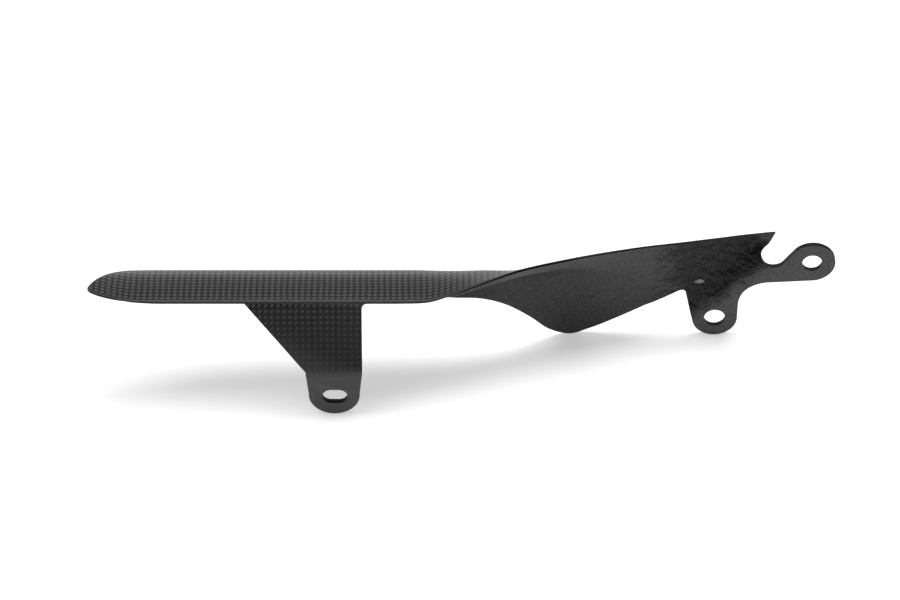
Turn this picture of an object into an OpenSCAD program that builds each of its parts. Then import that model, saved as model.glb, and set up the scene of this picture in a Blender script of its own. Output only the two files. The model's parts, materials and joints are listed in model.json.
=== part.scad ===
// Chain guard: one trimmed and drilled laminate moulding.
// Lengths run from the rear tip (0) to the front eye. Height 0 is the lowest point of the lugs.

/* [Blade] */
// Width of the flat top, from the inner fold to the outer side
blade_w = 28.2; // [20:0.1:40]
// Height of the top above the feet of the lugs
rim_h = 59; // [50:0.5:75]
// Length over which the rear tip rounds off
tip_round = 22; // [12:1:40]
// Height of the lip along the inner edge, where it is highest
lip_h = 2; // [1:0.1:6]
// Thickness of the skin
skin_t = 1.2; // [0.9:0.1:2.5]

/* [Outer wall] */
// Where the inner edge starts to sweep across, from the tip
sweep_x = 150; // [140:1:158]
// Where the belly hangs lowest, from the tip
belly_x = 226.5; // [218:0.5:234]

/* [Front plate] */
// Thickness of the plate with the two front lugs
plate_t = 2.4; // [1.6:0.1:5]
// Width of the soft step between the outer wall and the plate
step_w = 19; // [8:0.5:30]
// Distance from the tip to the bore of the front eye
eye_x = 341.2; // [336:0.5:350]
// Height of the bore of the front eye
eye_z = 45.8; // [44:0.2:48]
// Radius of the front eye
eye_r = 11; // [8:0.1:13]
// Radius of the bore in the front eye
eye_bore_r = 4.8; // [3:0.1:6.5]
// Distance from the tip to the bore of the lower lug
lug_x = 296.5; // [292:0.5:300]
// Radius of the lower lug
lug_r = 10.8; // [8:0.1:12]
// Radius of the bore in the lower lug
lug_bore_r = 5.1; // [3:0.1:6.5]

/* [Rear tab] */
// Distance from the tip to the middle of the slot
slot_x = 115; // [100:0.5:125]
// Thickness of the tab
tab_t = 2.8; // [1.6:0.1:4]
// Width of the tab below its slanted edge
tab_w = 28; // [24:0.5:36]
// Height of the bend above the lowest point
bend_z = 25.4; // [20:0.2:32]
// Radius of the round end of the tab
tab_end_r = 12; // [9:0.1:14]
// Height of the slot
slot_h = 8.3; // [5:0.1:10]
// Length of the slot
slot_l = 11.9; // [8:0.1:16]

/* [Hidden] */

// The tab's face stands at y = 0, and the plate's face at plate_y
fold_y = 14.6;
plate_y = 55.2;
outer_y = fold_y + blade_w;
plate_back = plate_y + plate_t;
len_all = eye_x + eye_r + 2;
wide = 80;
slot_z = 11;
// From here to the front the wall runs on down, and its lower edge is cut by the front outline
trim_x = 262;
trim_run = 5;
blank_low = [61.5, -2];

function clamp01(v) = max(0, min(1, v));
function mix(a, b, t) = a * (1 - t) + b * t;
function ease(a, b, v) = let (t = clamp01((v - a) / (b - a))) t * t * (3 - 2 * t);
function unit(v) = v / norm(v);
function dot2(a, b) = a[0] * b[0] + a[1] * b[1];

// Smooth curve through the points [x, value], level before the first and after the last
function span(pts, x, i = 0) = (i >= len(pts) - 2 || x < pts[i + 1][0]) ? i : span(pts, x, i + 1);
function slope(pts, i) =
    i == 0 || i == len(pts) - 1 ? 0
    : (pts[i + 1][1] - pts[i - 1][1]) / (pts[i + 1][0] - pts[i - 1][0]);
function curve(pts, x) =
    let (i = span(pts, x), a = pts[i], b = pts[i + 1], h = b[0] - a[0],
         t = clamp01((x - a[0]) / h), u = 1 - t)
    a[1] * u * u * (1 + 2 * t) + b[1] * t * t * (1 + 2 * u)
    + h * t * u * (slope(pts, i) * u - slope(pts, i + 1) * t);

// Lines of the moulding, each as a height or a depth over the length
function edge_y(x) = curve([[sweep_x - 20, fold_y], [sweep_x, fold_y + 0.1], [161, 15.4], [173, 20.4],
    [201, 35.4], [226, 44], [252, 50.6], [275, 55.4], [297, 60.1], [312, 63.2], [330, 65.8]], x);
function edge_z(x) = rim_h + curve([[200, 0], [216, -0.2], [262, -0.2], [285, -0.9], [322, -1.6]], x);
function wall_z(x) = curve([[20, rim_h - 2.6], [60, rim_h - 9], [110, rim_h - 16.5],
    [150, rim_h - 22.1], [170, rim_h - 24.1], [184, rim_h - 25], [195.8, rim_h - 30.8], [207.5, 16.7],
    [216.4, 5.7], [belly_x, 0], [236.6, 2.9], [248, 8.6], [264, 17.6], [276, 24.6], [300, 38]], x);
function wall_y(x) = curve([[150, outer_y + 1.2], [169, 44.2], [184, 44.6], [195.8, 46.9], [207.5, 51],
    [216.4, 54.7], [226.5, 57.3], [250, 58.5], [270, 59.1]], x);
function crease_y(x) = curve([[150, outer_y + 1.2], [169, 44.2], [184, 43.6], [201, 42.9], [213, 44.6],
    [226, 47.6], [250, 53.2], [285, 59.3], [322, 63]], x);
function crease_z(x) = rim_h - curve([[150, 24.1], [169, 23.9], [184, 17.6], [201, 9.8], [213, 8.2],
    [226, 8.3], [250, 15.9], [275, 27], [322, 29]], x);
function shoulder_y(x) = curve([[150, outer_y], [183, 41.8], [201, 39.8], [213, 42.6], [226, 46.2],
    [250, 51.8], [285, 58.5], [322, 63.5]], x);
function shoulder_z(x) = rim_h - curve([[150, 0.5], [183, 2.5], [201, 3.3], [226, 3.2], [250, 7],
    [275, 11]], x);
function lip(x) = 0.3 + (lip_h - 0.3) * (ease(4, 34, x) - ease(150, 182, x));

// Top and shoulder: a curve from the edge to the crease that leans on the shoulder's corner
function corners(x) = [[edge_y(x), edge_z(x)], [shoulder_y(x), shoulder_z(x)],
    [crease_y(x), crease_z(x)],
    mix([wall_y(x), wall_z(x)], blank_low, clamp01((x - trim_x) / trim_run))];
function crown(c, t) = let (u = 1 - t)
    c[0] * u * u * u + c[1] * 3 * u * t + c[2] * t * t * t;
function low_t(c, z, a, b, n = 16) = n == 0 ? (a + b) / 2
    : let (m = (a + b) / 2) crown(c, m)[1] > z ? low_t(c, z, m, b, n - 1) : low_t(c, z, a, m, n - 1);

// At the tip both edges meet on the middle line of the top
mid_t = 0.11;
function tip_q(x) = pow(max(0.002, 1 - pow(1 - clamp01(x / tip_round), 1.5)), 0.58);
function near_t(x) = mid_t * (1 - tip_q(x));
function far_t(x, c) =
    let (t = low_t(c, min(c[3][1], wall_z(tip_round)), mid_t, 1))
    c[3][1] <= c[2][1] ? 1 : mix(mid_t, t, pow(tip_q(x), 1.35));

// The front plate is flat below the bend line, and the wall steps back above it. Behind the
// notch the upper corner keeps leaning out, while the arm and the eye ahead of it stay flat.
corner_low = 12;
corner_top = 1.5;
corner_run = 7;
bend_a = [287, 15];
bend_b = [324, 47.6];
bend_n = unit([bend_a[1] - bend_b[1], bend_b[0] - bend_a[0]]);
function off_bend(x, z) = dot2([x, z] - bend_a, bend_n);
function plate_share(x, z) =
    let (t = clamp01(off_bend(x, z) / step_w), corner = 1 - ease(point_x, point_x + corner_run, x))
    pow(1 - t, 3) * (1 + 3 * t) * (1 - corner * ease(rim_h - corner_low, rim_h - corner_top, z));
function seat(x, p) = [mix(p[0], plate_back, plate_share(x, p[1])), p[1]];
function thick(x, z) = mix(plate_t, skin_t, ease(0, 9, off_bend(x, z)));

lip_dir = unit([-fold_y, bend_z - rim_h]);
lip_n = 5;
top_n = 12;
wall_n = 18;

// One section: the lip, the top and shoulder, the wall under the crease
function wall_point(c, low, ts, t1, v) =
    let (la = norm(crown(c, t1) - crown(c, ts)), lb = t1 < 1 ? 0 : norm(low - c[2]), d = v * (la + lb))
    lb == 0 || d < la ? crown(c, mix(ts, t1, min(1, d / la))) : c[2] + (low - c[2]) * ((d - la) / lb);
function skin_line(x) =
    let (c = corners(x), t0 = near_t(x), t1 = far_t(x, c), low = c[3], n = crown(c, t0),
         ta = t0 + 0.7 * lip(x) / (3 * norm(c[1] - c[0])),
         ts = mix(ta, t1, curve([[0, 0.6], [150, 0.8], [180, 1]], x)),
         a = crown(c, ta), e = n + lip_dir * lip(x), b = n + lip_dir * lip(x) * 0.7)
    concat([e],
        [for (k = [0:lip_n - 1]) let (t = k / lip_n, u = 1 - t) b * u * u + n * 2 * u * t + a * t * t],
        [for (k = [0:top_n - 1]) crown(c, mix(ta, ts, k / top_n))],
        [for (k = [0:wall_n]) wall_point(c, low, ts, t1, k / wall_n)]);

function side_n(pts, k) =
    let (d = unit(pts[min(len(pts) - 1, k + 1)] - pts[max(0, k - 1)])) [d[1], -d[0]];
function inner_line(x, pts) =
    let (m = lip_n + 1, w = ease(0.4, lip_h, lip(x)), n0 = side_n(pts, m),
         a = pts[m] + n0 * thick(x, pts[m][1]),
         ln = [-lip_dir[1], lip_dir[0]] * skin_t,
         e = mix(pts[3] + n0 * skin_t, pts[0] + ln, w),
         s = mix((a + e) / 2, pts[3] + n0 * skin_t + ln, w))
    [for (k = [0:len(pts) - 1]) k > m ? pts[k] + side_n(pts, k) * thick(x, pts[k][1])
        : let (t = k / m, u = 1 - t) e * u * u + s * 2 * u * t + a * t * t];

stations = concat([0.1, 0.8, 2, 4, 7, 10.5, 14.5, 18.5, tip_round, 30, 50, 75, 100, 125, 140],
    [for (x = [150:5:200]) x], [for (x = [203.5:3.5:260]) x], [trim_x, trim_x + 2.5, trim_x + 5],
    [for (x = [trim_x + 7.5:2.5:len_all + 3]) x]);
function at(x, p) = [x, p[0], p[1]];

module moulding() {
    outer = [for (x = stations) [for (p = skin_line(x)) seat(x, p)]];
    n = len(outer[0]);
    m = len(stations);
    pts = concat([for (i = [0:m - 1]) for (p = outer[i]) at(stations[i], p)],
        [for (i = [0:m - 1]) for (p = inner_line(stations[i], outer[i])) at(stations[i], p)]);
    off = n * m;
    quads = concat(
        [for (i = [0:m - 2]) for (j = [0:n - 2])
            let (a = i * n + j) [a, a + 1, a + n + 1, a + n]],
        [for (i = [0:m - 2]) for (j = [0:n - 2])
            let (a = off + i * n + j) [a, a + n, a + n + 1, a + 1]],
        [for (i = [0:m - 2]) for (j = [0, n - 1])
            let (a = i * n + j, b = off + a) j == 0 ? [a, a + n, b + n, b] : [a, b, b + n, a + n]],
        [for (j = [0:n - 2]) [j, off + j, off + j + 1, j + 1]],
        [for (j = [0:n - 2]) let (a = (m - 1) * n + j) [a, a + 1, off + a + 1, off + a]]);
    faces = [for (q = quads) each [[q[0], q[1], q[2]], [q[0], q[2], q[3]]]];
    polyhedron(pts, faces);
}

// Points of an arc, and of a soft corner from a to b that leans on c
function arc(c, r, from, to, n = 16) =
    [for (k = [0:n]) let (a = mix(from, to, k / n)) c + r * [cos(a), sin(a)]];
function soft(a, c, b, n = 6) =
    [for (k = [0:n]) let (t = k / n, u = 1 - t) a * u * u + c * 2 * u * t + b * t * t];
function tangent(p, c, r, side) = let (d = p - c) atan2(d[1], d[0]) + side * acos(r / norm(d));

// Outline of the front end, seen from the side. What lies inside the margin is kept whole.
margin = 10;
wall_end_x = 276;
throat = [282, 25.4];
arm_z = 33.5;
arm_x = 320;
notch_c = [322.7, 49.5];
notch_r = 6.5;
point_x = 323.5;
module front_outline() {
    eye = [eye_x, eye_z];
    lug = [lug_x, lug_r];
    right = lug_x + lug_r;
    arm = [arm_x, arm_z];
    top = max(edge_z(point_x) + 0.5, notch_c[1] + notch_r);
    polygon(concat([[-margin, -margin], [trim_x, -margin]],
        [for (x = [trim_x:3:wall_end_x - 1]) [x, wall_z(x)]],
        soft([wall_end_x, wall_z(wall_end_x)], throat + [-1, 2.8], throat, 6),
        arc(lug, lug_r, tangent(throat, lug, lug_r, 1), 360, 22),
        soft([right, arm_z - 13.5], [right + 0.6, arm_z - 2.2], arm, 8),
        arc(eye, eye_r, tangent(arm, eye, eye_r, 1), 137, 26),
        arc(notch_c, notch_r, -40, -186, 14),
        soft([317.2, 50.9], [319.2, 51.8], [point_x, top], 4),
        [[point_x, rim_h + 3 * margin], [-margin, rim_h + 3 * margin]]));
}

module along_y() {
    translate([0, wide, 0]) rotate([90, 0, 0]) linear_extrude(wide + margin) children();
}

// The tab leans out from the fold, and stands upright below the bend. Its face is a hair
// in front of the lip's, so that the two meet as solids.
face = 0.02;
tab_right = slot_x + 13;
tab_slant = 28.2;
root_r = 3;
module tab() {
    top = [0, bend_z] + [fold_y, rim_h - bend_z] * 0.96;
    back = [-lip_dir[1], lip_dir[0]] * tab_t;
    lip_z = rim_h + lip_dir[1] * lip_h;
    intersection() {
        rotate([90, 0, 90]) linear_extrude(len_all)
            polygon([[-face, -1], [-face, bend_z], top - [face, 0], top + back,
                [tab_t, bend_z - 0.4], [tab_t, -1]]);
        along_y() polygon(concat(
            [[tab_right - tab_w - tab_slant, rim_h], [tab_right - tab_w + 1.5, bend_z + 0.6]],
            arc([slot_x - 0.3, tab_end_r], tab_end_r, 176, 364, 24),
            [[tab_right, bend_z]],
            soft([tab_right, lip_z - root_r], [tab_right, lip_z], [tab_right + root_r, lip_z], 5),
            [[tab_right + root_r, rim_h]]));
    }
}

module bore(x, z, r) {
    translate([x, -margin, z]) rotate([-90, 0, 0]) cylinder(r = r, h = wide + margin, $fn = 64);
}

// The frame's origin is the middle of the front eye's bore
module chain_guard() {
    half = (slot_l - slot_h) / 2;
    color("#2b2c2e") translate([-eye_x, -(plate_y + plate_t / 2), -eye_z]) difference() {
        union() {
            intersection() {
                moulding();
                along_y() front_outline();
            }
            tab();
        }
        bore(eye_x, eye_z, eye_bore_r);
        bore(lug_x, lug_r, lug_bore_r);
        for (s = [-1, 1]) bore(slot_x + s * half, slot_z, slot_h / 2);
        translate([slot_x - half, -margin, slot_z - slot_h / 2]) cube([2 * half, 2 * margin, slot_h]);
    }
}

chain_guard();
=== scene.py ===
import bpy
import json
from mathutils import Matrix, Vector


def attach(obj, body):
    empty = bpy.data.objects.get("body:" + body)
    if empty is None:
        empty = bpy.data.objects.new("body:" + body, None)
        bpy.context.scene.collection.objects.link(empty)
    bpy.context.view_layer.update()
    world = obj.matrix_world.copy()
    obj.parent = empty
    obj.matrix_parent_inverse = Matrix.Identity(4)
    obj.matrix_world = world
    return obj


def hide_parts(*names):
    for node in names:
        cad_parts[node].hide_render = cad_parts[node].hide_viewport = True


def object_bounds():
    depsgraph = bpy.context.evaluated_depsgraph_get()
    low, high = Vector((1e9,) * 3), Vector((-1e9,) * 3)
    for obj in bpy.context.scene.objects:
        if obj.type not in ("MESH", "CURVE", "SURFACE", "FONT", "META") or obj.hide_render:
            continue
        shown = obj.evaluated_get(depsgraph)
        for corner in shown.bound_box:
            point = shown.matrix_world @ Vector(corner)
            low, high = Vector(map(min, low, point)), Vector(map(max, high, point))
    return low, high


bl_info = {
    "name": "Chain guard",
    "version": (1, 0, 0),
    "blender": (4, 5, 0),
    "location": "3D View > Sidebar > Chain guard",
    "description": "Builds a moulded laminate chain guard and its studio",
    "category": "Object",
}

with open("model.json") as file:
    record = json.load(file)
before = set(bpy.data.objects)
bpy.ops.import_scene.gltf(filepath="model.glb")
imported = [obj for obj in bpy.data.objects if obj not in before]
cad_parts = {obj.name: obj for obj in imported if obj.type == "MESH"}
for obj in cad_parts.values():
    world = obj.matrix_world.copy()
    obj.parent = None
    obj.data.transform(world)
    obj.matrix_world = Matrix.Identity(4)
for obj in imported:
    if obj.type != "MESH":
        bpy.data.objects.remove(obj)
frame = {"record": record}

import json
import math

import bpy
from bpy.props import FloatProperty, FloatVectorProperty, IntProperty, PointerProperty
from mathutils import Vector

CAD_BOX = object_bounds()
MM = 0.001
MOUNTS = {m["name"]: m for m in frame["record"]["mounts"]}
NODE = "chain_guard"
FINISHES = ("woven_clear_coat", "matte_inner_face", "sanded_edge")
WOVEN, INNER, EDGE = range(3)  # their slots on the moulding
CAMERA_TILT = math.radians(42)

# The moulding's lines are drawn in millimetres: x from the rear tip, y from the tab's face,
# z from the feet of the lugs. HOME is the front eye's bore, which is the frame's origin.
HOME = Vector((341.2, 56.4, 45.8))


class GuardSizes(bpy.types.PropertyGroup):
    """Sizes of the chain guard, in millimetres"""
    blade_w: FloatProperty(name="Blade width", description="Width of the flat top", default=28.2,
                           min=20, max=40)
    rim_h: FloatProperty(name="Top height", description="Height of the top above the feet",
                         default=59, min=50, max=75)
    skin_t: FloatProperty(name="Skin", description="Thickness of the skin", default=1.2, min=0.8,
                          max=2.5)
    plate_t: FloatProperty(name="Plate", description="Thickness of the plate with the front lugs",
                           default=2.4, min=1.5, max=5)
    tab_t: FloatProperty(name="Tab", description="Thickness of the rear tab", default=2.8,
                         min=1.5, max=4)
    tab_w: FloatProperty(name="Tab width", description="Width of the rear tab", default=28,
                         min=24, max=36)
    lip_h: FloatProperty(name="Lip", description="Height of the lip along the inner edge",
                         default=2, min=1, max=6)
    fold_sink: FloatProperty(name="Fold sink", description="How far the top dips toward the fold",
                             default=0.9, min=0, max=1.2)
    fold_reach: FloatProperty(name="Fold reach", description="How far from the fold the dip starts",
                              default=8, min=2, max=12)
    slot_l: FloatProperty(name="Slot length", description="Length of the tab's slot", default=11.9,
                          min=8, max=16)
    slot_h: FloatProperty(name="Slot height", description="Height of the tab's slot", default=8.3,
                          min=5, max=10)
    root_r: FloatProperty(name="Tab root", description="Fillet between the tab and the lip",
                          default=3, min=1, max=6)
    round_edge: FloatProperty(name="Edge round", description="Rounding of the sanded edges",
                              default=0.3, min=0.05, max=0.6)
    tow: FloatProperty(name="Tow width", description="Width of one tow of the cloth", default=2,
                       min=1, max=4)
    lip_n: IntProperty(name="Lip points", description="Points around the lip", default=8, min=4)
    top_n: IntProperty(name="Top points", description="Points across the top", default=24, min=8)
    wall_n: IntProperty(name="Wall points", description="Points down the wall", default=50, min=10)


def colour_prop(name, text, value):
    return FloatVectorProperty(name=name, description=text, subtype="COLOR", size=3, default=value,
                               min=0, max=1)


class GuardFinish(bpy.types.PropertyGroup):
    """Colours of the chain guard's finishes"""
    # The light tow's tone is a painted sheen: tows that lie toward the light, paler than the dark
    # cloth.
    tow_sheen: colour_prop("Light tow", "Tows that lie toward the light", (0.072, 0.072, 0.073))
    tow_dark: colour_prop("Dark tow", "Tows that lie across the light", (0.012, 0.012, 0.0124))
    inner: colour_prop("Inner face", "Matte inner face", (0.043, 0.043, 0.044))
    # The paler strip is a painted reflection of the floor on the face under the top edge.
    strip: colour_prop("Strip", "Paler strip between the top edge and the crease", (0.17, 0.17, 0.17))
    # Pooled resin: glossy and dark of its own, darker still as painted shade; also the colour of the
    # painted shadow under the crease.
    resin_and_shade: colour_prop("Pooled resin", "Glossy resin behind the front plate", (0.004, 0.004, 0.0045))
    # The cut edge's near-black tone is partly its own and partly painted shade on the top edges and
    # in the bores.
    edge: colour_prop("Cut edge", "Sanded edges and bores", (0.008, 0.008, 0.0084))
    floor: colour_prop("Floor", "Studio floor and backdrop", (0.78, 0.78, 0.78))


# Shape lines


def mix(a, b, t):
    return a * (1 - t) + b * t


def clamp01(v):
    return max(0.0, min(1.0, v))


def ease(a, b, v):
    """Smoothly from 0 at a to 1 at b."""
    t = clamp01((v - a) / (b - a))
    return t * t * (3 - 2 * t)


def curve(pts, x):
    """Smooth value at x through the points (x, value), level before the first and after the last."""
    i = 0
    while i < len(pts) - 2 and x >= pts[i + 1][0]:
        i += 1

    def slope(k):
        if k in (0, len(pts) - 1):
            return 0
        return (pts[k + 1][1] - pts[k - 1][1]) / (pts[k + 1][0] - pts[k - 1][0])

    (xa, a), (xb, b) = pts[i], pts[i + 1]
    h = xb - xa
    t = clamp01((x - xa) / h)
    u = 1 - t
    return (a * u * u * (1 + 2 * t) + b * t * t * (1 + 2 * u)
            + h * t * u * (slope(i) * u - slope(i + 1) * t))


# The blade and the wall
FOLD_Y = 14.6  # the fold along the blade's inner edge
TIP_ROUND = 22.0  # how far forward the tip's rounding reaches
TIP_POWERS = (1.5, 0.58)  # shape of the tip, seen from above
TIP_SIDE_POWER = 1.35  # how fast the outer side deepens behind it
MID_T = 0.11  # where the tip's own point lies on a section
SWEEP_X = 150.0  # where the fold starts to sweep outward
BELLY_X = 226.5  # the wall's lowest point
LIP_GROWS = (4, 34)
LIP_FADES = (150, 182)
LIP_LEAST = 0.3  # the lip's height before and after
LIP_NONE = 0.4  # up to this height the inner side ignores the lip
LIP_TURN = 0.25  # how far its rounding reaches onto the top, in lip heights
LIP_HANG = 0.6  # how much of the rounding hangs on the lip
LIP_KNEE = 0.4  # where on the rounding the inner side takes its distance
DIP_POWER = 1.3  # how the dip beside the fold steepens
TOP_SHARE = [(0, 0.6), (150, 0.8), (180, 1)]  # how much of a section the fine top points cover
TOP_TRIM = 0.02  # keeps the top inside the CAD's box
HALVINGS = 17  # steps of the search for a height on a section

# The front end
TRIM_X = 262.0  # from here the front outline cuts the wall's low edge
TRIM_RUN = 5.0  # over this run the uncut sheet comes down to its own low line
BLANK_LOW = Vector((61.5, -2))  # that low line, as (y, z)
PLATE_Y = 55.2  # the front plate's inner face
BEND_A = Vector((287, 15))  # the bend where the plate ends runs from here, as (x, z)
BEND_B = Vector((324, 47.6))  # to here
BEND_N = Vector((BEND_A.y - BEND_B.y, BEND_B.x - BEND_A.x)).normalized()
STEP_W = 19.0  # the step's width, from that bend to the wall
THIN_RUN = 9  # over this run the plate thins to the skin
POINT_X = 323.9  # the pointed upper corner
LEAN_RUN = 7  # past the corner the sheet gives up leaning out over this run
LEAN_BAND = (12, 1.5)  # the lean lies between these depths under the top
EYE_R = 11.0
EYE_END = 137  # where the eye's round passes into the notch, in degrees
LUG_R = 10.8
THROAT = (282, 25.4)  # corner between the wall's low edge and the lug
ARM = (320, 33.5)  # where the arm's lower edge starts
NOTCH_C = (322.9, 49.0)
NOTCH_R = 5.9
NOTCH_TURN = (-40, -184)
NOTCH_SIDE = ((317.0, 49.5), (317.2, 50.9), (319.6, 52.6))  # its rear side, up to the corner's run
NOTCH_LEAD = (321.6, 54.0)  # bows that run toward the pointed corner
GLINT_PATCH = Vector((288.5, 31.7))  # a painted glint on the step, a small pale patch, as (x, z)

# The rear tab
BEND_Z = 25.4  # below this the tab stands upright
TAB_AHEAD = 13  # from the slot's middle to the tab's straight edge
TAB_SLANT = 28.2  # how far the slanted edge runs back
TAB_END = ((-0.3, 12), 12)  # the round end's middle, in x from the slot's, and its radius
TAB_TURN = (176, 364)
TAB_REACH = 0.96  # how far up the leaning part goes toward the fold
TAB_PROUD = 0.02  # how far its face stands before the solid's
TAB_EASE = 3  # how far the bend's rounding reaches
SIDE = 0.8  # the tab's faces turned this far to the front or the back are its sides

# Cuts
BORE_SIDES = 96
BORE_REACH = 30
FAR = 30  # how far cutters reach past the part
WELD = 0.00002
FLAT_ANGLE = math.radians(0.5)
BEVEL_ANGLE = math.radians(50)
SMOOTH_ANGLE = math.radians(32)

# The cloth's pull over a section's slope
DRAPE_RATE = 2.02
DRAPE_LEAST = 0.75
DRAPE_MOST = 1.35


def v2(a, b):
    return Vector((a, b))


class Lines:
    """The moulding's lines at any distance x from the rear tip."""

    def __init__(self, sizes):
        self.s = sizes
        self.outer = FOLD_Y + sizes.blade_w
        self.lip_dir = v2(-FOLD_Y, BEND_Z - sizes.rim_h).normalized()

    def edge_y(self, x):
        """Depth of the top edge, which is the fold on the blade."""
        return curve([(SWEEP_X - 20, FOLD_Y), (SWEEP_X, FOLD_Y + 0.1), (161, 15.4), (173, 20.4),
                      (201, 35.4), (226, 44), (252, 50.6), (275, 55.4), (297, 60.1), (312, 63.2),
                      (330, 65.4)], x)

    def edge_z(self, x):
        """Height of the top edge."""
        return self.s.rim_h + curve([(200, 0), (216, -0.2), (262, -0.2), (285, -0.9), (322, -1.6)], x)

    def wall_z(self, x):
        """Height of the wall's low edge."""
        return curve([(20, 56.4), (60, 50), (110, 42.5), (150, 36.9), (170, 34.9), (184, 34),
                      (195.8, 28.2), (207.5, 16.7), (216.4, 5.7), (BELLY_X, 0), (236.6, 2.9),
                      (248, 8.6), (264, 17.6), (276, 24.6), (300, 38)], x)

    def wall_y(self, x):
        """Depth of the wall's low edge."""
        return curve([(150, self.outer + 1.2), (169, 44.2), (184, 44.6), (195.8, 46.9), (207.5, 51),
                      (216.4, 54.7), (BELLY_X, 57.3), (250, 58.5), (270, 59.1)], x)

    def corners(self, x):
        """The edge, the shoulder's corner, the crease and the wall's low edge."""
        low = mix(v2(self.wall_y(x), self.wall_z(x)), BLANK_LOW, clamp01((x - TRIM_X) / TRIM_RUN))
        return (
            v2(self.edge_y(x), self.edge_z(x)),
            v2(curve([(150, self.outer), (183, 41.8), (201, 39.8), (213, 42.6), (226, 46.2),
                      (250, 51.8), (285, 58.5), (322, 63.5)], x),
               curve([(150, self.s.rim_h - 0.5), (183, 56.5), (201, 55.7), (226, 55.8), (250, 52),
                      (275, 48)], x)),
            v2(curve([(150, self.outer + 1.2), (169, 44.2), (184, 43.6), (201, 42.9), (213, 44.6),
                      (226, 47.6), (250, 53.2), (285, 59.3), (322, 63)], x),
               curve([(150, 34.9), (169, 35.1), (184, 41.4), (201, 49.2), (213, 50.8), (226, 50.7),
                      (250, 43.1), (275, 32), (322, 30)], x)),
            low,
        )

    def lip(self, x):
        grown = ease(*LIP_GROWS, x) - ease(*LIP_FADES, x)
        return LIP_LEAST + (self.s.lip_h - LIP_LEAST) * grown

    @staticmethod
    def crown(c, t):
        """A section's curve over the top and the shoulder, from the edge (0) to the crease (1)."""
        u = 1 - t
        return c[0] * u * u * u + c[1] * 3 * u * t + c[2] * t * t * t

    def low_t(self, c, z):
        """Where that curve comes down to the height z."""
        a, b = MID_T, 1.0
        for _ in range(HALVINGS):
            m = (a + b) / 2
            if self.crown(c, m).y > z:
                a = m
            else:
                b = m
        return (a + b) / 2

    @staticmethod
    def tip_q(x):
        """The share of its full width that the blade has at x."""
        bow, rise = TIP_POWERS
        return max(0.002, 1 - (1 - clamp01(x / TIP_ROUND)) ** bow) ** rise

    def far_t(self, x, c):
        """Where the curve ends: at the low edge, or at the crease if the wall goes on below."""
        if c[3].y <= c[2].y:
            return 1.0
        t = self.low_t(c, min(c[3].y, self.wall_z(TIP_ROUND)))
        return mix(MID_T, t, self.tip_q(x) ** TIP_SIDE_POWER)

    @staticmethod
    def off_bend(x, z):
        """Distance from the bend where the plate ends, toward the wall."""
        return (v2(x, z) - BEND_A).dot(BEND_N)

    def seat(self, x, p):
        """Draws a point in to the front plate, or leaves it on the wall past the step."""
        t = clamp01(self.off_bend(x, p.y) / STEP_W)
        band = ease(self.s.rim_h - LEAN_BAND[0], self.s.rim_h - LEAN_BAND[1], p.y)
        lean = (1 - ease(POINT_X, POINT_X + LEAN_RUN, x)) * band
        share = (1 - t) ** 3 * (1 + 3 * t) * (1 - lean)
        return v2(mix(p.x, PLATE_Y + self.s.plate_t, share), p.y)

    def thick(self, x, z):
        """Thickness: the plate's before the bend, the skin's on the wall."""
        return mix(self.s.plate_t, self.s.skin_t, ease(0, THIN_RUN, self.off_bend(x, z)))

    def outer_line(self, x):
        """One section's outer side: the lip, the top and shoulder, the wall under the crease."""
        s = self.s
        c = self.corners(x)
        start = MID_T * (1 - self.tip_q(x))
        end = self.far_t(x, c)
        lip = self.lip(x)
        fold = self.crown(c, start)
        sink = s.fold_sink * max(0, lip - LIP_LEAST) / (s.lip_h - LIP_LEAST)

        def dipped(p):
            near = max(0, 1 - (p - fold).length / s.fold_reach)
            return p - v2(0, sink * near ** DIP_POWER)

        # The lip, from its free edge, round the fold and onto the top
        turn = start + LIP_TURN * lip / (3 * (c[1] - c[0]).length)
        free, ridge, onto = fold + self.lip_dir * lip, dipped(fold), dipped(self.crown(c, turn))
        hang = mix(ridge, free, LIP_HANG)
        pts = [free]
        for k in range(s.lip_n):
            t = k / s.lip_n
            u = 1 - t
            pts.append(hang * u * u + ridge * 2 * u * t + onto * t * t)

        # The top in fine steps, and then the shoulder and the wall
        far = mix(turn, end, curve(TOP_SHARE, x))
        pts += [dipped(self.crown(c, mix(turn, far, k / s.top_n))) for k in range(s.top_n)]
        over = (self.crown(c, end) - self.crown(c, far)).length
        down = 0 if end < 1 else (c[3] - c[2]).length
        for k in range(s.wall_n + 1):
            d = k / s.wall_n * (over + down)
            if down == 0 or d < over:
                pts.append(self.crown(c, mix(far, end, min(1, d / over) if over else 1)))
            else:
                pts.append(c[2] + (c[3] - c[2]) * ((d - over) / down))
        high = s.rim_h - TOP_TRIM
        return [self.seat(x, v2(p.x, min(p.y, high))) for p in pts]

    def above_crease(self, x, pts):
        """How far each point of a section lies above its crease, along the section."""
        runs = [0.0]
        for a, b in zip(pts, pts[1:]):
            runs.append(runs[-1] + (b - a).length)
        crease = self.seat(x, self.corners(x)[2])
        near = min(range(len(pts)), key=lambda k: (pts[k] - crease).length)
        at = runs[near] + (crease.y - pts[near].y) * (-1 if near else 0)
        return [at - run for run in runs]

    def inner_line(self, x, pts):
        """The same section's inner side, one skin away."""
        s = self.s
        last = len(pts) - 1

        def normal(k):
            d = (pts[min(last, k + 1)] - pts[max(0, k - 1)]).normalized()
            return v2(d.y, -d.x)

        def inward(k):
            return pts[k] + normal(k) * self.thick(x, pts[k].y)

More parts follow.
